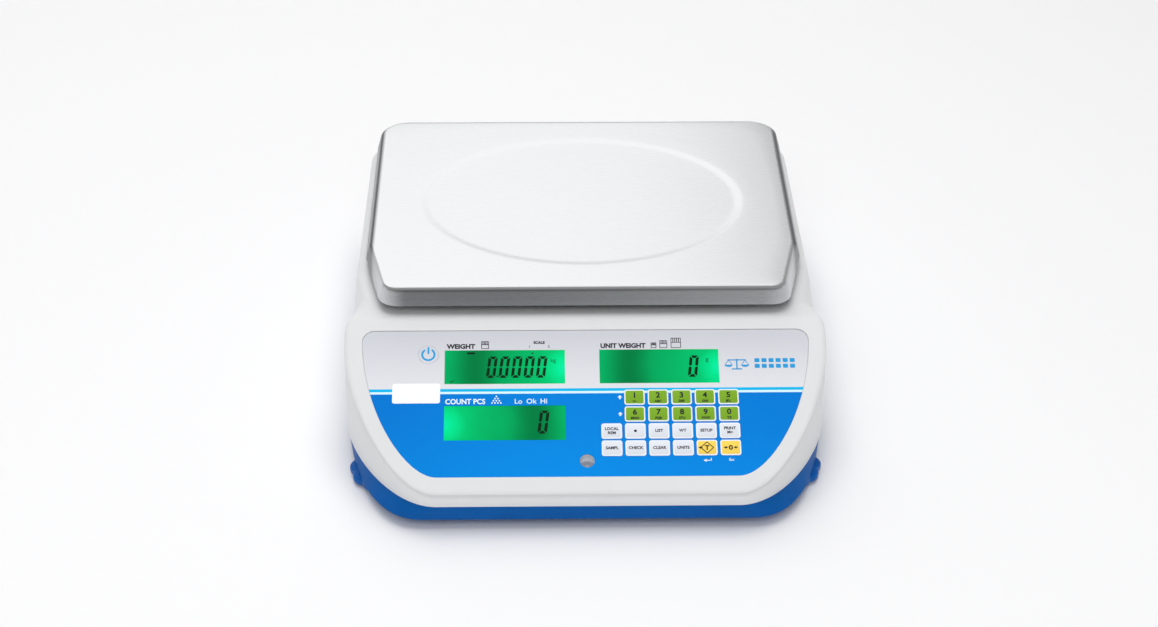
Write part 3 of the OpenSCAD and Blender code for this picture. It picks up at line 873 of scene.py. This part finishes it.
def make_display(node, glow_right):
    edges = window(node)
    x0, x1, s0, s1 = edges
    glow_x = x1 + 1 if glow_right else x0 - 1
    glow = console(glow_x, (s0 + s1) / 2 - 1, 0)
    material = lit_display(node + "_light", glow)
    glass = Shells()
    glass.pillow(pane(edges, 6, 0.5), OVERLAY_N0 - 0.05 - LCD_T, OVERLAY_N0 - 0.05, 0.2, console)
    glass.pillow(pane(edges, -0.1, 0.3), OVERLAY_N0 - 0.3, OVERLAY_N1 - 0.05, 0.08, console)
    name = node.replace("lcd_", "display_")
    put(new_object(name, glass), "housing", material, [node])


DIGIT_LEAN = 0.12
SEGMENT_GAP = 0.16


def printed_at(n):
    """Lower and upper height of a printed mark, and the way to place it."""
    return (n, n + FILM_T, console)


def digit(shells, x, s, w, h, t, n):
    """Seven-segment nought, w by h with strokes of t, whose middle is at (x, s)."""
    g, cut = SEGMENT_GAP, 0.3 * t
    left = [
        (0, h - cut - g), (t, h - t - g), (t, h / 2 + 0.5 * t),
        (0.4 * t, h / 2 + g), (0, h / 2 + 0.4 * t),
    ]
    half = [
        [(cut + g, h), (w - cut - g, h), (w - t - g, h - t), (t + g, h - t)],
        left,
        [(w - u, v) for u, v in left],
    ]
    lower = [[(u, h - v) for u, v in shape] for shape in half]
    for shape in half + lower:
        moved = [(x - w / 2 + u + (v - h / 2) * DIGIT_LEAN, s - h / 2 + v) for u, v in shape]
        shells.prism(moved, *printed_at(n))


def make_segments():
    ink = Shells()
    n = OVERLAY_N1 - 0.05
    place = printed_at(n)
    x0, _, s0, _ = window("lcd_weight")
    for i in range(5):
        digit(ink, x0 + 30.6 + i * 8.07, s0 + 12.1, 6.0, 15.6, 1.95, n)
    ink.prism(rounded(x0 + 34.2, s0 + 5.3, 1.1, 1.1, 0.2), *place)
    ink.text("kg", x0 + 68.6, s0 + 15.6, 2.9, n, wide=0.95)
    ink.prism([(x0 + 56.0, s0 + 21.8), (x0 + 57.8, s0 + 21.8), (x0 + 56.9, s0 + 22.9)], *place)
    ink.prism(rounded(x0 + 17.0, s0 + 22.3, 5.2, 1.4, 0.3), *place)
    ink.bar((x0 + 3.2, s0 + 2.2), (x0 + 4.4, s0 + 1.2), 0.5, *place)
    ink.bar((x0 + 4.3, s0 + 1.2), (x0 + 6.4, s0 + 2.8), 0.5, *place)
    _, x1, s0, _ = window("lcd_unit_weight")
    digit(ink, x1 - 16.6, s0 + 12.1, 6.0, 15.6, 1.95, n)
    ink.text("g", x1 - 8.4, s0 + 15.8, 2.9, n)
    _, x1, s0, _ = window("lcd_count")
    digit(ink, x1 - 14.2, s0 + 12.6, 6.1, 16.4, 2.0, n)
    put(new_object("display_digits", ink), "housing", SEGMENT)


def box_icon(shells, x, s, size, n):
    """Small box seen from the front, with a hatched lid."""
    place = printed_at(n)
    line = 0.42
    lower, upper = s + size * 0.62, s + size * 1.12
    for height in (s, lower, upper):
        shells.bar((x, height), (x + size, height), line, *place)
    for u in (x, x + size):
        shells.bar((u, s), (u, upper), line, *place)
    for i in range(1, 5):
        u = x + size * i / 5
        shells.bar((u, lower), (u, upper), 0.5, *place)


def make_dark_legends():
    ink = Shells()
    n = OVERLAY_N1
    x0, _, _, s1 = window("lcd_weight")
    ink.text("WEIGHT", x0 + 1.4, s1 + 1.3, 3.2, n, bold=0.045, wide=1.03)
    box_icon(ink, x0 + 23.8, s1 + 1.2, 4.6, n)
    ink.text("SCALE", x0 + 61.3, s1 + 4.6, 1.8, n, bold=0.05, align="CENTER")
    for mark, x in (("1", 55.0), ("2", 67.6)):
        ink.text(mark, x0 + x, s1 + 1.7, 1.7, n, align="CENTER", bold=0.012)
    x0, _, _, s1 = window("lcd_unit_weight")
    ink.text("UNIT WEIGHT", x0 + 0.8, s1 + 1.3, 3.2, n, bold=0.045, wide=0.99)
    for x, size in ((x0 + 33.9, 3.2), (x0 + 39.6, 4.6), (x0 + 47.0, 6.2)):
        box_icon(ink, x, s1 + 1.2, size, n)
    put(new_object("legends_dark", ink), "housing", DARK_INK)


def arrow_up(shells, x, s, n):
    size = 3.0
    place = printed_at(n)
    shells.prism([(x - size / 2, s), (x + size / 2, s), (x, s + size * 0.55)], *place)
    shells.bar((x, s + 0.1), (x, s - size * 0.42), size * 0.36, *place)


def make_white_legends():
    ink = Shells()
    n = OVERLAY_N1
    place = printed_at(n)
    x0, _, _, s1 = window("lcd_count")
    ink.text("COUNT PCS", x0 + 0.6, s1 + 1.3, 3.6, n, bold=0.026, wide=0.9)
    for row in range(4):
        for i in range(row + 1):
            u = x0 + 33.6 + (i - row / 2) * 1.9
            ink.prism(disc(u, s1 + 6.6 - row * 1.55, 0.55, 10), *place)
    for word, x in (("Lo", 45.1), ("Ok", 52.8), ("Hi", 61.7)):
        ink.text(word, x0 + x, s1 + 1.4, 3.5, n, bold=0.008)
    for node in ("key_1", "key_6"):
        kx, ks, _ = on_console(middle(node))
        arrow_up(ink, kx - 9.4, ks, n)
    kx, ks, _ = on_console(middle("key_tare"))
    ink.bar((kx - 1.2, ks - 8.8), (kx + 2.6, ks - 8.8), 0.5, *place)
    ink.bar((kx + 2.4, ks - 8.9), (kx + 2.4, ks - 7.2), 0.5, *place)
    ink.prism([(kx - 2.6, ks - 8.8), (kx - 0.6, ks - 9.9), (kx - 0.6, ks - 7.7)], *place)
    kx, ks, _ = on_console(middle("key_zero"))
    ink.text("Esc", kx + 0.2, ks - 9.2, 1.8, n, align="CENTER", bold=0.012)
    put(new_object("legends_white", ink), "housing", WHITE_INK)


def make_badge():
    """Generic balance pictogram with counted pieces beside it."""
    ink = Shells()
    n = OVERLAY_N1
    place = printed_at(n)
    x, s = 98.0, 86.6
    ink.bar((x - 3.4, s), (x + 3.4, s), 0.9, *place)
    ink.bar((x, s), (x, s + 7.2), 0.9, *place)
    ink.bar((x - 6.0, s + 6.6), (x + 6.0, s + 6.6), 0.8, *place)
    for side in (-1, 1):
        u = x + side * 5.4
        for a in (-1, 1):
            ink.bar((u, s + 6.6), (u + a * 2.3, s + 2.9), 0.45, *place)
        bowl = arc((u, s + 3.1), 2.7, 180, 360, 10)
        ink.prism([(p[0], s + 3.1 + (p[1] - s - 3.1) * 0.6) for p in bowl], *place)
    for row in range(2):
        for i in range(6):
            ink.prism(rounded(x + 13.2 + i * 4.6, s + 2.1 + row * 4.2, 3.3, 2.9, 0.5, 3), *place)
    put(new_object("badge", ink), "housing", BLUE_INK)


def make_label():
    label = Shells()
    outline = rounded(-109.8, 70.1, 30.8, 14.2, 1.4)
    label.pillow(outline, OVERLAY_N1, OVERLAY_N1 + 0.12, 0.08, console)
    put(new_object("blank_label", label), "housing", LABEL)


KEY_TOP = 0.15
WORDS = {
    "key_local": ["LOCAL", "REM"], "key_lookup": ["LIST"], "key_weight": ["WT"],
    "key_setup": ["SETUP"], "key_print": ["PRINT", "M+"], "key_sample": ["SAMPL"],
    "key_check": ["CHECK"], "key_clear": ["CLEAR"], "key_units": ["UNITS"],
}
SMALL = {
    "key_1": "+/-", "key_2": "ABC", "key_3": "DEF", "key_4": "GHI", "key_5": "JKL", "key_6": "MNO",
    "key_7": "PQR", "key_8": "STU", "key_9": "VWX", "key_0": "YZ",
}


def tare_symbol(ink, x, s, place, n):
    corners = ((-4.1, 0), (0, 3.9), (4.1, 0), (0, -3.9), (-4.1, 0))
    for a, b in zip(corners, corners[1:]):
        ink.bar((x + a[0], s + a[1]), (x + b[0], s + b[1]), 0.55, *place)
    ink.text("T", x, s - 1.45, 3.0, n, align="CENTER", bold=0.045)
    side_arrow(ink, x - 4.3, s, 1, place)


def zero_symbol(ink, x, s, place, n):
    ink.text("0", x, s - 1.55, 3.1, n, align="CENTER", bold=0.035, wide=1.2)
    side_arrow(ink, x - 3.3, s, 1, place)
    side_arrow(ink, x + 3.3, s, -1, place)


def side_arrow(ink, x, s, way, place):
    ink.prism([(x - way * 0.2, s - 1.0), (x + way * 1.5, s), (x - way * 0.2, s + 1.0)], *place)
    ink.bar((x - way * 1.1, s), (x + way * 0.2, s), 0.7, *place)


def make_key_faces(node, rgb):
    """Printed face inside the key's light border, and its legend."""
    x, s, _ = on_console(middle(node))
    body = "pad_" + node
    face = Shells()
    outline = rounded(x, s, 11.6, 9.2, 1.1, 5)
    face.pillow(outline, KEY_TOP - 0.1, KEY_TOP + 0.06, 0.05, console)
    put(new_object(node + "_face", face), body, shaded_key(node + "_print", rgb, node))
    ink = Shells()
    n = KEY_TOP + 0.06
    place = printed_at(n)
    if node in SMALL:
        ink.text(node[-1], x, s - 0.4, 3.7, n, align="CENTER", bold=0.03, wide=1.05)
        ink.text(SMALL[node], x, s - 3.7, 1.6, n, align="CENTER", bold=0.045)
    elif node == "key_point":
        ink.prism(rounded(x, s, 1.7, 1.6, 0.4), *place)
    elif node == "key_tare":
        tare_symbol(ink, x, s, place, n)
    elif node == "key_zero":
        zero_symbol(ink, x, s, place, n)
    else:
        words = WORDS[node]
        top = s - 0.8 + (len(words) - 1) * 1.45
        for i, word in enumerate(words):
            ink.text(word, x, top - i * 2.9, 1.95, n, align="CENTER", bold=0.035)
    put(new_object(node + "_legend", ink), body, DARK_INK)


def make_power_icon():
    x, s, _ = on_console(middle("key_power"))
    n = OVERLAY_N1
    ink = Shells()
    r, w = 4.0, 1.35
    outer, inner = arc((x, s), r + w / 2, 122, 418, 40), arc((x, s), r - w / 2, 418, 122, 40)
    ink.prism(np.concatenate([outer, inner]), *printed_at(n))
    ink.prism(rounded(x, s + 3.0, 1.2, 5.2, 0.55, 4), *printed_at(n))
    put(new_object("power_icon", ink), "pad_key_power", BLUE_INK)


# ---- base ----


def make_base():
    halves = (base_half(), cover_half(0.7), cover_half(WALL + 1.5))
    bottom, top, inside = (both_sides(h) for h in halves)
    out_low, out_high = normals(bottom), normals(top)

    def ring(share, inset, z):
        base, out = bottom * (1 - share) + top * share, out_low * (1 - share) + out_high * share
        return [(*p, z) for p in base - out * inset]

    height = PART_Z - BASE_Z
    rings = [ring(0, 1.2, BASE_Z), ring(0, 0.5, BASE_Z + 0.12), ring(0, 0.12, BASE_Z + 0.5)]
    for t in np.linspace(0, 1, 6):
        bulge = -0.25 * math.sin(math.pi * t)
        rings.append(ring(t, bulge, BASE_Z + 1.2 + t * (height - 2.0)))
    rings += [ring(1, 0.12, PART_Z - 0.3), ring(1, 0.5, PART_Z - 0.05), ring(1, 1.0, PART_Z)]
    rings += [[(*p, z) for p in inside] for z in (PART_Z, BASE_Z + WALL)]
    tray = Shells()
    tray.rings(rings)
    base = new_object("base", tray)
    holes = Shells()
    for foot in FEET:
        x, y, _ = middle("foot_wheel_" + foot)
        holes.prism(disc(x, y, 5.4), BASE_Z - 2, PART_Z)
    for x, y in CASE_SCREWS:
        holes.prism(disc(x, y, 4.0, 32), BASE_Z - 2, PART_Z - 1)
    lo, hi = box_mm("battery_door")
    x, y, _ = middle("battery_door")
    w, h = hi[0] - lo[0], hi[1] - lo[1]
    holes.prism(rounded(x, y, w - 9.4, h - 9.4, 0.5), BASE_Z - 2, PART_Z)
    for bolt_x in (-57, -39):
        holes.prism(disc(bolt_x, BEAM_Y, 5.5, 32), BASE_Z - 2, PART_Z)
    carve(base, holes)
    rebate = Shells()
    rebate.prism(rounded(x, y, w + 0.6, h + 0.6, 0.5), BASE_Z - 2, BASE_Z + 1.5)
    carve(base, rebate)
    ports = Shells()
    for node in SOCKETS:
        lo, hi = box_mm(node)
        opening = rounded(middle(node)[0], BACK - 5, hi[0] - lo[0] + 1, 20, 0.5)
        ports.prism(opening, 18.4, 30)
    carve(base, ports)
    put(base, "housing", BLUE, ["base_tray"], angle=35)


def make_base_bosses():
    """Posts, seat and ribs that stand on the floor of the base."""
    boss = Shells()
    for foot in FEET:
        x, y, _ = middle("foot_wheel_" + foot)
        boss.tube(x, y, 13, 9.9, BASE_Z + 1, BASE_Z + 14)
        boss.tube(x, y, 10.5, 5.4, BASE_Z + 1, BASE_Z + 5.9)
    for x, y in CASE_SCREWS:
        boss.tube(x, y, 6, 4.0, BASE_Z + 1, 12.0)
        boss.tube(x, y, 6, 2.1, 12.0, 15.0)
    boss.pillow(rounded(-BEAM_X, BEAM_Y, 48, 46, 3), BASE_Z + 6.3, 18, 0.6)
    boss.pillow(rounded(BEAM_X, BEAM_Y, 42, 20, 6), BASE_Z + 1, BASE_Z + 21, 0.6)
    for x in (-60, -20, 20, 60):
        boss.prism(rounded(x, -92.5, 2, 145, 0.6), BASE_Z + 1, PART_Z - 3)
    put(new_object("base_bosses", boss), "housing", BLUE)


# ---- feet ----

FEET = ("fl", "fr", "rl", "rr")
LOBES = 12
LOBE_DEPTH = 0.85
WHEEL_T = 5.2


def make_wheel(foot):
    node = "foot_wheel_" + foot
    lo, hi = box_mm(node)
    x, y, _ = middle(node)
    reach = (hi[0] - lo[0]) / 2
    z0, z1 = lo[2], lo[2] + WHEEL_T
    turn = np.linspace(0, 2 * math.pi, 24 * LOBES, endpoint=False)

    def lobed(inset, share=1.0):
        wave = LOBE_DEPTH * share * (np.abs(np.cos(turn * LOBES / 2)) ** 1.3 * 2 - 1)
        r = reach - LOBE_DEPTH * share + wave - inset
        return np.stack([x + r * np.cos(turn), y + r * np.sin(turn)], 1)

    def round_ring(r):
        return np.stack([x + r * np.cos(turn), y + r * np.sin(turn)], 1)

    levels = [
        (round_ring(4.05), z0 + 2.9), (round_ring(4.05), z0 + 0.2), (round_ring(15), z0),
        (lobed(1.3, 0.8), z0), (lobed(0.5), z0 + 0.25), (lobed(0.1), z0 + 0.8),
        (lobed(0), z0 + 1.5), (lobed(0), z1 - 1.5), (lobed(0.1), z1 - 0.8),
        (lobed(0.5), z1 - 0.25), (lobed(1.3, 0.8), z1), (round_ring(18.5), z1),
        (round_ring(18.0), z1 - 0.9), (round_ring(9.5), z1 - 0.9), (round_ring(9.0), z1),
        (round_ring(5.2), z1), (round_ring(4.97), z1 + 0.2), (round_ring(4.97), hi[2] - 0.6),
        (round_ring(4.3), hi[2]),
    ]
    wheel = Shells()
    wheel.rings([[(*p, z) for p in ring] for ring, z in levels])
    obj = new_object("hand_wheel_" + foot, wheel)
    put(obj, "wheel_" + foot, WHEEL, [node], angle=40)


# ---- pan ----

RING_CENTRE = np.array([0.0, 56.0])
RING_RADII = (109.0, 85.5)
RING_WIDTH = 8.6
DISH_DEPTH = 0.6


PAN_SHEET = 1.15
PAN_STEP = 5  # longest edge of the pan's outline


def make_pan():
    lo, hi = box_mm("weighing_pan")
    width, top = hi[0] - lo[0], hi[2]
    skirt = [
        (0.0, lo[2] + 0.2), (0.12, lo[2] + 0.9), (1.1, lo[2] + 4.6), (2.2, lo[2] + 8.4),
        (2.45, lo[2] + 9.4), (2.9, lo[2] + 10.4), (3.6, top - 0.75), (4.5, top - 0.28),
        (5.4, top - 0.06), (6.5, top),
    ]
    below = [
        (6.5, top - PAN_SHEET), (4.6, top - 1.4), (4.0, top - 2.2), (3.6, lo[2] + 9.2),
        (1.25, lo[2] + 0.9), (0.9, lo[2]),
    ]

    def sides(d):
        """Pairs of neighbouring points of the outline at inset d."""
        points = both_sides(pan_half(width, d))
        return zip(points, np.roll(points, -1, 0))

    counts = [max(1, math.ceil(np.linalg.norm(b - a) / PAN_STEP)) for a, b in sides(0)]

    def fine(d):
        """Outline at inset d, cut at the same shares as the outermost one."""
        parts = [[a + (b - a) * i / c for i in range(c)] for (a, b), c in zip(sides(d), counts)]
        return np.concatenate(parts)

    start = fine(skirt[-1][0])
    angle = np.arctan2((start - RING_CENTRE)[:, 1], (start - RING_CENTRE)[:, 0])
    across, rearward = np.cos(angle) / RING_RADII[0], np.sin(angle) / RING_RADII[1]
    reach = 1 / np.sqrt(across**2 + rearward**2)
    way = np.stack([np.cos(angle), np.sin(angle)], 1)

    def ellipse(offset, drop):
        return [(*p, top - drop) for p in RING_CENTRE + way * (reach + offset)[:, None]]

    rings = [[(*p, z) for p in fine(d)] for d, z in skirt]
    outer = np.array(ellipse(RING_WIDTH / 2, 0))
    edge = np.array([(*p, top) for p in start])
    rings += [list(map(tuple, edge + (outer - edge) * t)) for t in (0.25, 0.5, 0.75)]
    for t in np.linspace(0, 1, 11):
        rings.append(ellipse((0.5 - t) * RING_WIDTH, DISH_DEPTH * (1 - math.cos(t * math.pi)) / 2))
    inner = np.array(ellipse(-RING_WIDTH / 2, DISH_DEPTH))
    centre = np.array([*RING_CENTRE, top - DISH_DEPTH])
    for share in (0.8, 0.6, 0.4, 0.2):
        rings.append(list(map(tuple, centre + (inner - centre) * share)))

    under = [[(*p, z) for p in fine(d)] for d, z in below]
    low = top - PAN_SHEET - DISH_DEPTH
    under_middle = [(*p, low) for p in RING_CENTRE + way * (reach * 0.2)[:, None]]
    under_dish = [(*p, low) for p in RING_CENTRE + way * reach[:, None]]
    foot_ring = [(*p, lo[2]) for p in fine(0.35)]
    pan = Shells()
    pan.rings([under_middle, under_dish, *under, foot_ring, *rings])
    put(new_object("pan", pan), "pan", STEEL, ["weighing_pan"], angle=50)


# ---- level ----


def make_level():
    """Vial of the bubble level, with the two circles printed on it."""
    x, y = LEVEL
    lo, hi = box_mm("level_vial")
    radius = (hi[0] - lo[0]) / 2
    vial = Shells()
    profile = [
        (radius - 0.4, lo[2]), (radius, lo[2] + 0.4), (radius, hi[2] - 0.3),
        (radius - 0.3, hi[2]), (radius - 0.9, hi[2]), (radius - 1.1, hi[2] - 0.25),
    ]
    vial.rings([[(*p, z) for p in disc(x, y, r, 64)] for r, z in profile])
    glass = moulded(
        "level_glass", (158, 162, 174), rough=0.12, grain=0.004, fine=600, spread=0.04,
        coat=0.8,
    )
    put(new_object("vial", vial), "housing", glass, ["level_vial"], angle=40)
    ring = Shells()
    z = hi[2] - 0.25
    for r in (1.9, 2.9):
        outer, inner = disc(x, y, r + 0.09), disc(x, y, r - 0.09)
        upper = z + FILM_T
        levels = ((inner, z), (outer, z), (outer, upper), (inner, upper), (inner, z))
        ring.rings([[(*p, height) for p in line] for line, height in levels], closed=False)
    put(new_object("vial_ring", ring), "housing", DARK_INK)


# ---- assembly ----

make_cover()
make_cover_posts()
make_base()
make_base_bosses()
for foot in FEET:
    make_wheel(foot)
make_pan()
make_display("lcd_weight", True)
make_display("lcd_unit_weight", True)
make_display("lcd_count", False)
make_segments()
make_dark_legends()
make_white_legends()
make_badge()
make_label()
make_power_icon()
make_level()

GREEN_KEYS = ["key_%d" % i for i in range(10)]
YELLOW_KEYS = ["key_tare", "key_zero"]
for node in GREEN_KEYS:
    make_key_faces(node, (124, 170, 36))
for node in YELLOW_KEYS:
    make_key_faces(node, (250, 214, 92))
WHITE_KEYS = [*WORDS, "key_point"]
for node in WHITE_KEYS:
    make_key_faces(node, (226, 230, 238))

for node in [*GREEN_KEYS, *YELLOW_KEYS, *WHITE_KEYS]:
    dress(node, KEY_RIM, 0.12)
film = overlay_film()
dress("key_power", film, 0.02)
dress("front_overlay", film, 0.12)
for node, material, soft in (
    ("lcd_backlights", LIGHT_PLATE, 0.3), ("display_board", BOARD, 0.2), ("key_domes", FILM, 0.1),
    ("main_board", BOARD, 0.3), ("load_cell", ALLOY, 0.4), ("load_cell_riser", ALLOY, 0.4),
    ("load_cell_bolts", BLACK_STEEL, 0.3), ("overload_stops", BLACK_STEEL, 0.4),
    ("battery", CASE, 0.6), ("battery_door", BLUE, 0.3),
    ("internal_leads", LEAD, 0), ("ribbon_cable", RIBBON, 0.1),
    ("foot_nuts", ZINC, 0.4), ("level_housing", CUP, 0.2), ("case_screws", ZINC, 0.3),
    ("small_screws", ZINC, 0.2), ("dc_inlet", SOCKET, 0.25), ("serial_port", SHELL, 0.15),
    ("pan_support", CAST, 0.7), ("support_bolts", BLACK_STEEL, 0.3), ("support_pads", RUBBER, 0.4),
):
    dress(node, material, soft)
for foot in FEET:
    dress("foot_pad_" + foot, RUBBER, 0.4)

# ---- floor, lights and world ----


def make_floor():
    shells = Shells()
    shells.prism(rounded(0, 0, 3600, 3600, 400, 12), -6, 0)
    obj = new_object("floor", shells)
    paper = moulded(
        "floor", (250, 250, 251), rough=0.6, grain=0.05, fine=300, spread=0.003
    )
    obj.data.materials.append(paper)


def make_light(name, place, target, size, power, in_gloss=True):
    data = bpy.data.lights.new(name, "AREA")
    data.shape = "RECTANGLE"
    data.size, data.size_y = size
    data.energy = power
    obj = bpy.data.objects.new(name, data)
    way = Vector(target) - Vector(place)
    obj.matrix_world = Matrix.Translation(place) @ way.to_track_quat("-Z", "Y").to_matrix().to_4x4()
    obj.visible_camera = False
    obj.visible_glossy = in_gloss
    bpy.context.scene.collection.objects.link(obj)


def make_world():
    """Plain grey studio around the pale floor."""
    world = bpy.data.worlds.new("studio")
    world.use_nodes = True
    tree = world.node_tree
    coords = tree.nodes.new("ShaderNodeTexCoord").outputs["Generated"]
    parts = tree.nodes.new("ShaderNodeSeparateXYZ")
    tree.links.new(coords, parts.inputs[0])
    ramp = tree.nodes.new("ShaderNodeValToRGB")
    tree.links.new(parts.outputs["Z"], ramp.inputs["Fac"])
    stops = ((0, 0.82), (0.15, 0.74), (0.4, 0.34), (0.9, 0.34))
    while len(ramp.color_ramp.elements) < len(stops):
        ramp.color_ramp.elements.new(0.5)
    for element, (place, grey) in zip(ramp.color_ramp.elements, stops):
        element.position = place
        element.color = (grey, grey, grey, 1)
    tree.links.new(ramp.outputs["Color"], tree.nodes["Background"].inputs["Color"])
    bpy.context.scene.world = world


make_floor()
make_world()
make_light("softbox_back", (-0.6, 2.0, 2.15), (0, 0.1, 0.1), (2.6, 2.6), 19.5)
for name, x in (("strip_left", -2.2), ("strip_right", 2.2)):
    make_light(name, (x, -0.1, 0.45), (0, 0, 0.1), (0.7, 0.8), 0.6)
make_light("softbox_top", (0, -0.1, 2.6), (0, 0, 0), (1.8, 1.8), 30, in_gloss=False)
make_light("softbox_front", (-0.2, -2.2, 2.2), (0, 0, 0.05), (1.6, 1.2), 21, in_gloss=False)
bpy.context.scene.view_settings.view_transform = "Standard"
